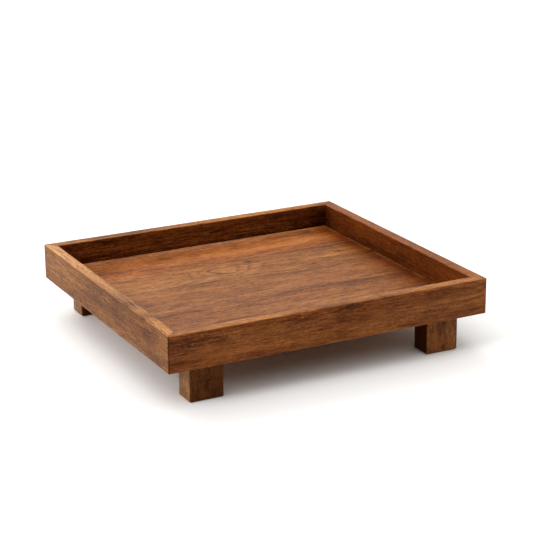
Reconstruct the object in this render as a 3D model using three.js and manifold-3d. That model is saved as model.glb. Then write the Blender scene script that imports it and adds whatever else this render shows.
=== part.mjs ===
// A low wooden tea tray: four mitred rails round a recessed base of edge-glued boards, on four block legs.
// Millimetres, +Z up, +X to the right, -Y to the front. The origin is on the table, under the tray's centre.
import * as THREE from 'three';
import { mergeVertices, toCreasedNormals } from 'three/addons/utils/BufferGeometryUtils.js';
import Module from 'manifold-3d';

// Plan, outside the rails
const TRAY_WIDTH = 350;
const TRAY_DEPTH = 320;

// Heights, from the table up
const UNDERSIDE_HEIGHT = 38;
const LIP_BELOW_BASE = 4;
const TONGUE_THICKNESS = 5;
const SHOULDER_HEIGHT = 4;
const RIM_ABOVE_BASE = 24;

// Upright corners are sanded rounder than the level arrises by this much
const CORNER_SOFTENING = 0.8;

// Rails: the stock and its eased arrises
const RAIL_THICKNESS = 12;
const RAIL_ARRIS = 1.2;
const MITRE_GLUE_LINE = 0.3;

// Base: its tongue floats in the rails' groove, and its field stops short of the rails by a shadow gap
const TONGUE_LENGTH = 5;
const GROOVE_RELIEF = 1;
const GROOVE_CLEARANCE = 0.15;
const SHADOW_GAP = 1.2;
const FIELD_ARRIS = 0.8;
// Widths of the boards from back to front, as shares of the base
const BOARD_SHARES = [66, 54, 61, 58, 46];

// Loose tongue hidden in each mitre
const MITRE_TONGUE_THICKNESS = 3;
const MITRE_TONGUE_HEIGHT = 16;
const MITRE_TONGUE_REACH = 5;
const MORTISE_CLEARANCE = 0.15;

// Legs: they stand against the inner faces of the front and back rails, under the base
const LEG_WIDTH = 36;
const LEG_DEPTH = 24;
const LEG_SIDE_INSET = 26;
const LEG_TO_RAIL = 0.2;
const LEG_ARRIS = 1.2;
const FOOT_ROUNDING = 2.3;

// Fluted dowels between each leg and the base
const DOWEL_DIAMETER = 8;
const DOWEL_IN_LEG = 15;
const DOWEL_SPACING = 16;
const DOWEL_COVER = 2.5;
const DOWEL_CLEARANCE = 0.12;
const DOWEL_END_RELIEF = 0.5;
const DOWEL_CHAMFER = 0.8;
const FLUTE_COUNT = 10;
const FLUTE_DEPTH = 0.4;
// Part of each step round the dowel that its flute takes up
const FLUTE_SHARE = 0.4;

// How finely round stretches are drawn
const ARRIS_STEPS = 3;
const CORNER_STEPS = 4;
const HOLE_SIDES = 32;
const CREASE_ANGLE = THREE.MathUtils.degToRad(35);

// Colours and gloss read from the photograph
const RAIL_BROWN = 0x7d4b29;
const RAIL_BROWN_LIGHT = 0x94613c;
const BASE_BROWNS = [0x8f5526, 0x96623a, 0x8c5c3c, 0x936341, 0x9a6840];
const LEG_BROWN = 0x5f371c;
const DOWEL_TAN = 0xc9a577;
const RAIL_ROUGHNESS = 0.5;
const BASE_ROUGHNESS = 0.45;
const LEG_ROUGHNESS = 0.55;
const BARE_WOOD_ROUGHNESS = 0.8;

// Levels and plan lines that the pieces share
const baseThickness = TONGUE_THICKNESS + SHOULDER_HEIGHT;
const railHeight = LIP_BELOW_BASE + baseThickness + RIM_ABOVE_BASE;
const baseBottom = UNDERSIDE_HEIGHT + LIP_BELOW_BASE;
const tongueTop = baseBottom + TONGUE_THICKNESS;
const baseTop = tongueTop + SHOULDER_HEIGHT;
const rim = UNDERSIDE_HEIGHT + railHeight;
const insideX = TRAY_WIDTH / 2 - RAIL_THICKNESS;
const insideY = TRAY_DEPTH / 2 - RAIL_THICKNESS;
// A cutter passes the faces that it cuts by this much
const OVERCUT = 2;

const wasm = await Module();
wasm.setup();

function solidOf(geometry) {
  const bare = geometry.clone();
  bare.deleteAttribute('normal');
  bare.deleteAttribute('uv');
  const merged = mergeVertices(bare);
  return new wasm.Manifold(new wasm.Mesh({
    numProp: 3,
    vertProperties: new Float32Array(merged.attributes.position.array),
    triVerts: new Uint32Array(merged.index.array),
  }));
}

function geometryOf(solid) {
  const { vertProperties, triVerts } = solid.getMesh();
  const geometry = new THREE.BufferGeometry();
  geometry.setAttribute('position', new THREE.BufferAttribute(vertProperties, 3));
  geometry.setIndex(new THREE.BufferAttribute(triVerts, 1));
  return toCreasedNormals(geometry, CREASE_ANGLE);
}

function wood(name, geometry, color, roughness) {
  const mesh = new THREE.Mesh(geometry, new THREE.MeshStandardMaterial({ color, roughness, metalness: 0 }));
  mesh.name = name;
  return mesh;
}

// A rectangle about the origin, with its corners rounded where a radius is given
function rectangle(halfX, halfY, radius = 0, path = new THREE.Shape()) {
  const signs = [[1, -1], [1, 1], [-1, 1], [-1, -1]];
  if (radius === 0) {
    return path.setFromPoints(signs.map(([x, y]) => new THREE.Vector2(x * halfX, y * halfY)));
  }
  const quarter = Math.PI / 2;
  signs.forEach(([x, y], turn) => {
    const start = (turn - 1) * quarter;
    path.absarc(x * (halfX - radius), y * (halfY - radius), radius, start, start + quarter);
  });
  path.closePath();
  return path;
}

// A prism that stands on the level `bottom`, with its end edges rounded where an arris is given
function upright(shape, bottom, top, arris = 0) {
  const geometry = new THREE.ExtrudeGeometry(shape, {
    depth: top - bottom - 2 * arris,
    curveSegments: CORNER_STEPS,
    bevelEnabled: arris > 0,
    bevelSize: arris,
    bevelThickness: arris,
    bevelOffset: -arris,
    bevelSegments: ARRIS_STEPS,
  });
  return geometry.translate(0, 0, bottom + arris);
}

function block(halfX, halfY, bottom, top) {
  return solidOf(upright(rectangle(halfX, halfY), bottom, top));
}

const corners = [
  { name: 'front_left', x: -1, y: -1 },
  { name: 'front_right', x: 1, y: -1 },
  { name: 'back_left', x: -1, y: 1 },
  { name: 'back_right', x: 1, y: 1 },
];

// Mitre tongues: a flat strip with round edges lies across each mitre. It is set towards the inside of the
// corner, so that its mortise keeps as much wood before the outer face as behind the inner one.
const mortiseDepth = MITRE_TONGUE_REACH + MORTISE_CLEARANCE;
const tongueFromOutside = (RAIL_THICKNESS + mortiseDepth * Math.SQRT1_2) / 2;
const tongueMiddle = (tongueTop + GROOVE_CLEARANCE + rim) / 2;

function strip(thickness, height, length) {
  const section = rectangle(thickness / 2, height / 2, thickness / 2);
  const geometry = new THREE.ExtrudeGeometry(section, {
    depth: length,
    bevelEnabled: false,
    curveSegments: CORNER_STEPS,
  });
  return geometry.translate(0, 0, -length / 2).rotateX(Math.PI / 2);
}

function mitrePlace({ x, y }) {
  const place = new THREE.Object3D();
  place.position.set(
    x * (TRAY_WIDTH / 2 - tongueFromOutside),
    y * (TRAY_DEPTH / 2 - tongueFromOutside),
    tongueMiddle,
  );
  place.rotation.z = Math.atan2(y, x);
  place.updateMatrix();
  return place.matrix;
}

function makeMitreTongues() {
  const group = new THREE.Group();
  const geometry = strip(MITRE_TONGUE_THICKNESS, MITRE_TONGUE_HEIGHT, 2 * MITRE_TONGUE_REACH);
  for (const corner of corners) {
    const tongue = wood(`mitre_tongue_${corner.name}`, geometry, DOWEL_TAN, BARE_WOOD_ROUGHNESS);
    tongue.applyMatrix4(mitrePlace(corner));
    group.add(tongue);
  }
  return group;
}

// Rails: the frame is eased as one ring, grooved for the base, and parted at its mitres
function easedFrame() {
  const plan = rectangle(TRAY_WIDTH / 2, TRAY_DEPTH / 2, RAIL_ARRIS + CORNER_SOFTENING);
  plan.holes.push(rectangle(insideX, insideY, 0, new THREE.Path()));
  return solidOf(upright(plan, UNDERSIDE_HEIGHT, rim, RAIL_ARRIS));
}

function groove() {
  const depth = TONGUE_LENGTH + GROOVE_RELIEF;
  return block(insideX + depth, insideY + depth, baseBottom - GROOVE_CLEARANCE, tongueTop + GROOVE_CLEARANCE);
}

// The mitred sector of one side, drawn for the front and then turned about the centre
function mitreSector(halfLength, halfSpan, turn) {
  const hairline = MITRE_GLUE_LINE * Math.SQRT1_2;
  const reach = RAIL_THICKNESS + OVERCUT;
  const along = (inward) => halfLength - inward - hairline;
  const sector = new THREE.Shape([
    new THREE.Vector2(-along(-OVERCUT), -halfSpan - OVERCUT),
    new THREE.Vector2(along(-OVERCUT), -halfSpan - OVERCUT),
    new THREE.Vector2(along(reach), reach - halfSpan),
    new THREE.Vector2(-along(reach), reach - halfSpan),
  ]);
  return solidOf(upright(sector, UNDERSIDE_HEIGHT - OVERCUT, rim + OVERCUT).rotateZ(turn));
}

function makeRails() {
  const group = new THREE.Group();
  const mortise = strip(
    MITRE_TONGUE_THICKNESS + 2 * MORTISE_CLEARANCE,
    MITRE_TONGUE_HEIGHT + 2 * MORTISE_CLEARANCE,
    2 * mortiseDepth,
  );
  let frame = easedFrame().subtract(groove());
  for (const corner of corners) {
    frame = frame.subtract(solidOf(mortise.clone().applyMatrix4(mitrePlace(corner))));
  }
  const sides = [
    { name: 'front_rail', length: TRAY_WIDTH, span: TRAY_DEPTH, turn: 0, color: RAIL_BROWN },
    { name: 'right_rail', length: TRAY_DEPTH, span: TRAY_WIDTH, turn: Math.PI / 2, color: RAIL_BROWN },
    { name: 'back_rail', length: TRAY_WIDTH, span: TRAY_DEPTH, turn: Math.PI, color: RAIL_BROWN },
    { name: 'left_rail', length: TRAY_DEPTH, span: TRAY_WIDTH, turn: -Math.PI / 2, color: RAIL_BROWN_LIGHT },
  ];
  for (const { name, length, span, turn, color } of sides) {
    const rail = frame.intersect(mitreSector(length / 2, span / 2, turn));
    group.add(wood(name, geometryOf(rail), color, RAIL_ROUGHNESS));
  }
  return group;
}

// Dowels: each leg has two, side by side under the base
const dowelTop = baseBottom + baseThickness - DOWEL_COVER - DOWEL_END_RELIEF;
const dowelBottom = baseBottom - DOWEL_IN_LEG;
const legMiddleX = TRAY_WIDTH / 2 - LEG_SIDE_INSET - LEG_WIDTH / 2;
const legMiddleY = insideY - LEG_TO_RAIL - LEG_DEPTH / 2;
const dowelPlaces = corners.flatMap(({ name, x, y }) => [['outer', 1], ['inner', -1]].map(([side, step]) => ({
  name: `dowel_${name}_${side}`,
  x: x * (legMiddleX + step * DOWEL_SPACING / 2),
  y: y * legMiddleY,
})));

function dowelHole(x, y) {
  const radius = DOWEL_DIAMETER / 2 + DOWEL_CLEARANCE;
  const bottom = dowelBottom - DOWEL_END_RELIEF;
  const height = dowelTop + DOWEL_END_RELIEF - bottom;
  const hole = new THREE.CylinderGeometry(radius, radius, height, HOLE_SIDES);
  return solidOf(hole.rotateX(Math.PI / 2).translate(x, y, bottom + height / 2));
}

// Each step round the dowel is a round land, drawn as two chords, and then a flute
function dowelSection() {
  const radius = DOWEL_DIAMETER / 2;
  const land = 1 - FLUTE_SHARE;
  const step = [[0, radius], [land / 2, radius], [land, radius], [(land + 1) / 2, radius - FLUTE_DEPTH]];
  const points = [];
  for (let flute = 0; flute < FLUTE_COUNT; flute += 1) {
    for (const [part, reach] of step) {
      const angle = (flute + part) * 2 * Math.PI / FLUTE_COUNT;
      points.push(new THREE.Vector2(Math.cos(angle), Math.sin(angle)).multiplyScalar(reach));
    }
  }
  return new THREE.Shape(points);
}

function makeDowels() {
  const group = new THREE.Group();
  const geometry = new THREE.ExtrudeGeometry(dowelSection(), {
    depth: dowelTop - dowelBottom - 2 * DOWEL_CHAMFER,
    bevelSize: DOWEL_CHAMFER,
    bevelThickness: DOWEL_CHAMFER,
    bevelOffset: -DOWEL_CHAMFER,
    bevelSegments: 1,
  });
  for (const { name, x, y } of dowelPlaces) {
    const dowel = wood(name, geometry, DOWEL_TAN, BARE_WOOD_ROUGHNESS);
    dowel.position.set(x, y, dowelBottom + DOWEL_CHAMFER);
    group.add(dowel);
  }
  return group;
}

// A prism along Y whose section is drawn with its height as Y
function sweep(section, reach) {
  const geometry = new THREE.ExtrudeGeometry(section, {
    depth: 2 * reach,
    bevelEnabled: false,
    curveSegments: ARRIS_STEPS,
  });
  return geometry.translate(0, 0, -reach).rotateX(Math.PI / 2);
}

// Base: one rabbeted section, swept both ways and crossed, gives a panel with its tongue all round
function baseSection(inside) {
  const field = inside - SHADOW_GAP;
  const tongue = inside + TONGUE_LENGTH;
  const section = new THREE.Shape();
  section.moveTo(-tongue, baseBottom);
  section.lineTo(tongue, baseBottom);
  section.lineTo(tongue, tongueTop);
  section.lineTo(field, tongueTop);
  section.absarc(field - FIELD_ARRIS, baseTop - FIELD_ARRIS, FIELD_ARRIS, 0, Math.PI / 2);
  section.absarc(FIELD_ARRIS - field, baseTop - FIELD_ARRIS, FIELD_ARRIS, Math.PI / 2, Math.PI);
  section.lineTo(-field, tongueTop);
  section.lineTo(-tongue, tongueTop);
  section.closePath();
  return section;
}

function baseBlank() {
  const frontToBack = sweep(baseSection(insideX), insideY + TONGUE_LENGTH);
  const sideToSide = sweep(baseSection(insideY), insideX + TONGUE_LENGTH).rotateZ(Math.PI / 2);
  return solidOf(frontToBack).intersect(solidOf(sideToSide));
}

function makeBase() {
  const group = new THREE.Group();
  let blank = baseBlank();
  for (const { x, y } of dowelPlaces) {
    blank = blank.subtract(dowelHole(x, y));
  }
  const whole = BOARD_SHARES.reduce((sum, share) => sum + share, 0);
  const last = BOARD_SHARES.length - 1;
  const reach = insideX + TONGUE_LENGTH + OVERCUT;
  let back = insideY;
  BOARD_SHARES.forEach((share, index) => {
    const front = back - 2 * insideY * share / whole;
    const backEdge = index === 0 ? back + TONGUE_LENGTH + OVERCUT : back;
    const frontEdge = index === last ? front - TONGUE_LENGTH - OVERCUT : front;
    const plan = new THREE.Shape([
      new THREE.Vector2(-reach, frontEdge),
      new THREE.Vector2(reach, frontEdge),
      new THREE.Vector2(reach, backEdge),
      new THREE.Vector2(-reach, backEdge),
    ]);
    const board = blank.intersect(solidOf(upright(plan, baseBottom - OVERCUT, baseTop + OVERCUT)));
    group.add(wood(`base_board_${index + 1}`, geometryOf(board), BASE_BROWNS[index], BASE_ROUGHNESS));
    back = front;
  });
  return group;
}

// Legs: the plan gives a block its eased upright edges, two elevations round its foot, and it is bored from above
function legElevation(halfSpan) {
  const middle = halfSpan - FOOT_ROUNDING;
  const elevation = new THREE.Shape();
  elevation.absarc(-middle, FOOT_ROUNDING, FOOT_ROUNDING, Math.PI, 1.5 * Math.PI);
  elevation.absarc(middle, FOOT_ROUNDING, FOOT_ROUNDING, 1.5 * Math.PI, 2 * Math.PI);
  elevation.lineTo(halfSpan, baseBottom);
  elevation.lineTo(-halfSpan, baseBottom);
  elevation.closePath();
  return elevation;
}

function makeLegs() {
  const group = new THREE.Group();
  const plan = rectangle(LEG_WIDTH / 2, LEG_DEPTH / 2, LEG_ARRIS);
  const front = solidOf(sweep(legElevation(LEG_WIDTH / 2), LEG_DEPTH));
  const side = solidOf(sweep(legElevation(LEG_DEPTH / 2), LEG_WIDTH).rotateZ(Math.PI / 2));
  let leg = solidOf(upright(plan, -OVERCUT, baseBottom + OVERCUT)).intersect(front).intersect(side);
  for (const step of [-1, 1]) {
    leg = leg.subtract(dowelHole(step * DOWEL_SPACING / 2, 0));
  }
  const geometry = geometryOf(leg);
  for (const { name, x, y } of corners) {
    const mesh = wood(`leg_${name}`, geometry, LEG_BROWN, LEG_ROUGHNESS);
    mesh.position.set(x * legMiddleX, y * legMiddleY, 0);
    group.add(mesh);
  }
  return group;
}

const tray = new THREE.Group();
tray.add(makeRails(), makeBase(), makeLegs(), makeMitreTongues(), makeDowels());

export default tray;
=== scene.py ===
# %% [markdown]
# # Dressing a wooden tea tray
# The frame that is loaded here holds the joiner's solids: four mitred rails, a base of five boards, four
# legs and the hidden joinery. Their places and sizes are fixed. This lesson makes every piece that shows
# once more, with worked edges and the figure of the wood, and sets the tray on a pale floor in soft
# light.

# %% Load the solids
import math

import bmesh
import bpy
from mathutils import Matrix, Quaternion, Vector, noise


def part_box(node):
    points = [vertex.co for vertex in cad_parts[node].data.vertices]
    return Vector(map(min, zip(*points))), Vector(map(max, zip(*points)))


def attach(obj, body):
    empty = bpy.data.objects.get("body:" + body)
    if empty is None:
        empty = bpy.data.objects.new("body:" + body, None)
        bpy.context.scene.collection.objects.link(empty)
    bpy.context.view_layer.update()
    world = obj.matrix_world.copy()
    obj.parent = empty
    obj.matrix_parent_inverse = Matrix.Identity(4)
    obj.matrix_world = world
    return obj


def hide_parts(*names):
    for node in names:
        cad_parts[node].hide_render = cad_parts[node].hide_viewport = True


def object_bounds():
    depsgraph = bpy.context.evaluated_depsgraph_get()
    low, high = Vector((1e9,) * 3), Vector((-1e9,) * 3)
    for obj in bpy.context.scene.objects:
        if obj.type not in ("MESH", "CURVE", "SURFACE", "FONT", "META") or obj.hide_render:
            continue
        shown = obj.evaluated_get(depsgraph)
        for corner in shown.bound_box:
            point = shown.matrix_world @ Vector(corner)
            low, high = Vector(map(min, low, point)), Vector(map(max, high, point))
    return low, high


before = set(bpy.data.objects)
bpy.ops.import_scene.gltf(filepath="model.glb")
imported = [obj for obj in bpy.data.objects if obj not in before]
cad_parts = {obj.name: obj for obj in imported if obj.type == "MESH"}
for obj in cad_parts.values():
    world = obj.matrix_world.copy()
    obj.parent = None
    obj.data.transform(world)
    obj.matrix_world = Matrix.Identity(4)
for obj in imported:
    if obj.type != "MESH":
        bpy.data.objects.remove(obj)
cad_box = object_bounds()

MM = 0.001
print("solids loaded:", len(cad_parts))
print("tray in millimetres:", [round(v / MM, 1) for v in cad_box[1] - cad_box[0]])

# %% [markdown]
# The picture looks down on the tray from the front left, from nearly two metres away through a long lens,
# so the edges run nearly parallel. A Track To constraint could aim the camera. Its place was worked out
# from the tray's corners in the picture, so here it is simply set, and the lens follows from the
# picture's width.

# %% The camera
PICTURE_SIDE = 533
FOCAL_LENGTH_IN_PIXELS = 1720
SENSOR_WIDTH = 36
CAMERA_PLACE = Vector((-0.7694, -1.5032, 0.6253))
CAMERA_AIM = Vector((0.0108, 0.0024, 0.0664))
CAMERA_ROLL = math.radians(-0.4)

lens = bpy.data.cameras.new("portrait_camera")
lens.sensor_width = SENSOR_WIDTH
lens.lens = SENSOR_WIDTH * FOCAL_LENGTH_IN_PIXELS / PICTURE_SIDE
camera = bpy.data.objects.new("portrait_camera", lens)
camera.location = CAMERA_PLACE
aimed = (CAMERA_AIM - CAMERA_PLACE).to_track_quat("-Z", "Y")
camera.rotation_euler = (aimed @ Quaternion((0, 0, 1), CAMERA_ROLL)).to_euler()
bpy.context.scene.collection.objects.link(camera)
bpy.context.scene.camera = camera
print("lens in millimetres:", round(lens.lens, 1))
print("distance in metres:", round((CAMERA_AIM - CAMERA_PLACE).length, 2))

# %% [markdown]
# Most of what follows is wood, and a wood finish is a long sum: growth rings, fibres, pores and stains,
# each with its own weight. Wiring a sum by hand takes dozens of nodes. The class below wraps one socket,
# so that `1 - stain` or `rings * 0.2 + fibres` written in Python adds the Math nodes for it. Colours are
# mixed and multiplied by nodes of their own, because a Math node would turn them grey.

# %% Sums written in Python become nodes
class Wire:
    """One socket of a material. Python's operators on it add Math nodes."""

    def __init__(self, tree, socket=None):
        self.tree = tree
        self.socket = socket

    def node(self, kind, settings=None, sockets=None, output=0):
        """Adds a node: its settings first, then the values or links of its sockets."""
        made = self.tree.nodes.new("ShaderNode" + kind)
        for name, value in (settings or {}).items():
            if name == "stops":
                set_stops(made.color_ramp.elements, value)
            else:
                setattr(made, name, value)
        for name, value in (sockets or {}).items():
            if isinstance(value, Wire):
                self.tree.links.new(value.socket, made.inputs[name])
            else:
                made.inputs[name].default_value = value
        return Wire(self.tree, made.outputs[output] if made.outputs else None)

    def beside(self, output):
        """Another output of the same node."""
        return Wire(self.tree, self.socket.node.outputs[output])

    def math(self, operation, *values):
        """A Math node on values and wires."""
        return self.node("Math", {"operation": operation}, dict(enumerate(values)))

    def __add__(self, other):
        return self.math("ADD", self, other)

    __radd__ = __add__

    def __sub__(self, other):
        return self.math("SUBTRACT", self, other)

    def __rsub__(self, other):
        return self.math("SUBTRACT", other, self)

    def __mul__(self, other):
        return self.math("MULTIPLY", self, other)

    __rmul__ = __mul__

    def __truediv__(self, other):
        return self.math("DIVIDE", self, other)

    def __rtruediv__(self, other):
        return self.math("DIVIDE", other, self)

    def __pow__(self, other):
        return self.math("POWER", self, other)

    def __rpow__(self, other):
        return self.math("POWER", other, self)

    def rise(self, low, high):
        """0 up to `low`, 1 from `high` on, and a smooth slope between them."""
        return self.node("MapRange", {"interpolation_type": "SMOOTHSTEP"},
                         {"Value": self, "From Min": low, "From Max": high})

    def mix(self, first, second):
        """A colour between two, with this value as the share of the second."""
        return self.node("Mix", {"data_type": "RGBA"}, {0: self, 6: first, 7: second}, output=2)

    def times(self, other):
        """This colour multiplied by another, channel by channel."""
        return self.node("VectorMath", {"operation": "MULTIPLY"}, {0: self, 1: other})


print("operators with a number on their left:", [name for name in vars(Wire) if name.startswith("__r")])

# %% [markdown]
# Two small helpers go with the class. One sets the stops of a colour ramp, which Blender keeps as
# elements that have to be added one by one. The other makes an empty material to start from.

# %% Ramps and new materials
def set_stops(elements, stops):
    """Puts a ramp's stops at the places and colours that are given."""
    while len(elements) < len(stops):
        elements.new(1.0)
    for element, (position, colour) in zip(elements, stops):
        element.position = position
        element.color = (*colour, 1.0)


def new_material(name):
    """An empty material, and a wire to start its nodes from."""
    material = bpy.data.materials.new(name)
    material.use_nodes = True
    material.node_tree.nodes.clear()
    return material, Wire(material.node_tree)


print("materials so far:", len(bpy.data.materials))

# %% [markdown]
# The floor is a plain white sweep. One large plane does for it, a hair below the feet so that the two
# don't flicker, and its finish is a matt white with the faintest mottle. It is only a stage, not part of
# the tray.

# %% The floor
FLOOR_REACH = 30.0
FLOOR_DROP = 0.05 * MM
FLOOR_WHITE = (0.955, 0.953, 0.950, 1)
FLOOR_GREY = (0.940, 0.938, 0.935, 1)

floor_finish, start = new_material("pale_floor")
mottle = start.node("TexNoise", {}, {"Scale": 3.0, "Detail": 2.0})
whites = mottle.rise(0.3, 0.7).mix(FLOOR_WHITE, FLOOR_GREY)
matt = {"Base Color": whites, "Roughness": 0.9, "Specular IOR Level": 0.1}
start.node("OutputMaterial", {}, {"Surface": start.node("BsdfPrincipled", {}, matt)})

floor_mesh = bpy.data.meshes.new("floor")
corners = [(-1, -1), (1, -1), (1, 1), (-1, 1)]
floor_points = [(x * FLOOR_REACH, y * FLOOR_REACH, -FLOOR_DROP) for x, y in corners]
floor_mesh.from_pydata(floor_points, [], [(0, 1, 2, 3)])
floor = bpy.data.objects.new("floor", floor_mesh)
floor.data.materials.append(floor_finish)
bpy.context.scene.collection.objects.link(floor)
print("floor side in metres:", 2 * FLOOR_REACH)

# %% [markdown]
# The light is a studio's: a wide soft one overhead that leans a little to the front, one from behind that
# draws the tray's shadow towards the viewer, and a narrower one from the left. The floor is exposed to
# pure white, as catalogue pictures are. Suns with a wide angle give soft shadows and an even floor, which
# area lights of any handy size would not.

# %% The lights
LIGHT_COLOUR = (1.0, 0.995, 0.985)
LIGHTS = {
    # name: direction the light comes from, width in degrees, strength
    "overhead_light": ((0.0, -0.28, 1.0), 86, 1.05),
    "back_light": ((0.0, 1.2, 1.0), 50, 1.12),
    "left_light": ((-1.0, -0.1, 0.70), 24, 1.35),
}

for name, (source, width, strength) in LIGHTS.items():
    sun = bpy.data.lights.new(name, "SUN")
    sun.energy = strength
    sun.angle = math.radians(width)
    sun.color = LIGHT_COLOUR
    light = bpy.data.objects.new(name, sun)
    light.rotation_euler = Vector(source).to_track_quat("Z", "Y").to_euler()
    bpy.context.scene.collection.objects.link(light)
print("lights:", list(LIGHTS))

# %% [markdown]
# A pale surround fills the shadows, and the satin wood mirrors it. It is brightest at the back and dark
# low down at the front, so that the shadow under the tray stays deep. A picture of a studio could be
# wrapped round the scene, but two smooth slopes between three colours are enough. Colours go to the
# screen unchanged, with no film look.

# %% The surround
SURROUND_FRONT = (0.600, 0.595, 0.585, 1)
SURROUND_FRONT_LOW = (0.090, 0.066, 0.042, 1)
SURROUND_BACK = (1.140, 1.130, 1.105, 1)
FRONT_SLOPE = (0.22, 0.72)
BACK_SLOPE = (0.0, 0.9)

world = bpy.data.worlds.new("studio")
world.use_nodes = True
world.node_tree.nodes.clear()
bpy.context.scene.world = world
start = Wire(world.node_tree)
towards = start.node("TexCoord", {}, {}, output="Generated")
behind = start.node("SeparateXYZ", {}, {0: towards}, output="Y")
front_glow = behind.beside("Z").rise(*FRONT_SLOPE).mix(SURROUND_FRONT_LOW, SURROUND_FRONT)
glow = behind.rise(*BACK_SLOPE).mix(front_glow, SURROUND_BACK)
start.node("OutputWorld", {}, {"Surface": start.node("Background", {}, {"Color": glow, "Strength": 1.0})})
bpy.context.scene.view_settings.view_transform = "Standard"
print("nodes in the surround:", len(world.node_tree.nodes))

# %% [markdown]
# Before remaking a piece, its solid is measured. The four rails stand round the base with mitred corners
# and carry it in a groove, the boards of the base run from side to side, and the legs stand under the
# base just inside the front and back rails. Only the thickness of the base's tongue is given here.

# %% Measure the solids
HALF_WIDTH = cad_box[1].x
HALF_DEPTH = cad_box[1].y
rail_low, rail_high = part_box("front_rail")
RAIL_BOTTOM = rail_low.z
RAIL_TOP = rail_high.z
RAIL_THICKNESS = rail_high.y - rail_low.y
board_low, board_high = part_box("base_board_3")
BASE_BOTTOM = board_low.z
BASE_TOP = board_high.z
TONGUE_REACH = board_high.x
TONGUE_THICKNESS = 5 * MM
TONGUE_TOP = BASE_BOTTOM + TONGUE_THICKNESS
print("rail thickness:", round(RAIL_THICKNESS / MM, 2))
print("rail height:", round((RAIL_TOP - RAIL_BOTTOM) / MM, 2))
print("base thickness:", round((BASE_TOP - BASE_BOTTOM) / MM, 2))

# %% [markdown]
# Every long piece here is a section carried along a line: a rail's section runs from mitre to mitre, a
# leg's from foot to top. A Screw or a curve bevel could sweep it, but a plain list of sections lets each
# one differ a little, as hand-eased edges do. The helper skins the sections with quads and closes both
# ends. It also keeps three numbers on each vertex for the finish: how worn the edge is, which also paints
# a highlight on it, how near a joint is, and how much painted light or shade the wood has there.

# %% Skin a piece over its sections
# the third number is painted light, and painted shade where it is below 0
KEPT = ("wear", "joint", "tone")
WELD = 0.001 * MM


def join_faces(name, spots, faces):
    """A mesh object from faces and (point, wear and highlight, joint, painted light) spots; numbers stay
    on points.
    """
    points, *kept = zip(*spots)
    mesh = bpy.data.meshes.new(name)
    mesh.from_pydata(points, [], faces)
    for label, values in zip(KEPT, kept):
        mesh.attributes.new(label, "FLOAT", "POINT").data.foreach_set("value", values)
    shape = bmesh.new()
    shape.from_mesh(mesh)
    bmesh.ops.remove_doubles(shape, verts=shape.verts, dist=WELD)
    bmesh.ops.recalc_face_normals(shape, faces=shape.faces)
    shape.to_mesh(mesh)
    shape.free()
    piece = bpy.data.objects.new(name, mesh)
    bpy.context.scene.collection.objects.link(piece)
    return piece


def skin(name, sections):
    """A closed piece over sections, each a list of (point, wear and highlight, joint, painted light)."""
    count = len(sections[0])
    last = (len(sections) - 1) * count
    faces = [tuple(reversed(range(count))), tuple(range(last, last + count))]
    for first in range(0, last, count):
        for step in range(count):
            beside = (step + 1) % count
            faces.append((first + step, first + beside, first + count + beside, first + count + step))
    return join_faces(name, [spot for section in sections for spot in section], faces)


def smooth(piece, angle=30):
    """Rounded edges shade smoothly, and edges sharper than `angle` stay crisp."""
    for polygon in piece.data.polygons:
        polygon.use_smooth = True
    piece.data.set_sharp_from_angle(angle=math.radians(angle))


print("numbers kept on each vertex:", KEPT)

# %% [markdown]
# No edge or face that is worked by hand is quite even. Random steps from point to point would only look
# rough, so a smooth noise tells how far the work strays at each place, and it is the same on every run.

# %% How far hand work strays
def wander(place, reach):
    """A smooth value from about -1 to 1 that changes over `reach` metres."""
    return noise.noise(Vector(place) / reach)


def dip_at(place, depth, reach):
    """How far a sanded face dips at a place: from nothing to about `depth`."""
    return depth * (0.5 + 0.5 * wander(place, reach))


print("a value that wanders:", [round(wander((n * MM, 0, 0), 5 * MM), 2) for n in range(5)])

# %% [markdown]
# Each long edge of a rail is eased with a block plane and sandpaper. A Bevel modifier would round them
# all alike, but a hand never takes off quite the same twice, so an edge is an arc here whose radius
# wanders along the rail. Easing only takes wood away, so the rail stays in its box.

# %% The eased edges of a rail
EASE = 0.95 * MM
EASE_WANDER = 0.45
QUICK_SHARE = 0.3
SLOW_REACH = 31 * MM
QUICK_REACH = 7 * MM
SEED_STEP = 0.37
ARC_STEPS = 5
SIDE_NUMBER = {"front": 0, "right": 1, "back": 2, "left": 3}


def edge_radius(side, edge, along):
    """How much an edge is eased at a place along the rail."""
    seed = (SIDE_NUMBER[side] * 4 + edge) * SEED_STEP
    slow = wander((along, seed, 0.0), SLOW_REACH)
    quick = wander((along, seed, 1.0), QUICK_REACH)
    return EASE * (1 + EASE_WANDER * slow + QUICK_SHARE * EASE_WANDER * quick)


def arc(inset, height, radius, first_angle):
    """A quarter round, as (inset, height, angle it faces, wear and painted highlight)."""
    spots = []
    for step in range(ARC_STEPS + 1):
        share = step / ARC_STEPS
        angle = math.radians(first_angle + 90 * share)
        # the middle of the arc is the most worn, and its lighter colour is also a painted highlight
        wear = math.sin(math.pi * share)
        spots.append((inset + radius * math.cos(angle), height + radius * math.sin(angle), angle, wear))
    return spots


eases = [edge_radius("front", 3, tenth * 10 * MM) / MM for tenth in range(5)]
print("ease along an edge in millimetres:", [round(ease, 2) for ease in eases])

# %% [markdown]
# A rail's section has the four eased edges and the groove that holds the base. It is a list of points
# once round the rail, each with the way it faces, so that later steps can tell the top from a side. The
# points between two edges are there so that the faces can dip, as sanded faces do.

# %% One section of a rail
GROOVE_PLAY = 0.15 * MM
GROOVE_DEPTH = 6 * MM
FACE_PARTS = {"bottom": 3, "inner": 5, "top": 3, "outer": 7}


def face(first, last, parts):
    """Points between two ends of a flat face, without the ends."""
    run, rise = last[0] - first[0], last[1] - first[1]
    angle = math.atan2(-run, rise)
    shares = [step / parts for step in range(1, parts)]
    return [(first[0] + run * share, first[1] + rise * share, angle, 0.0) for share in shares]


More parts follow.
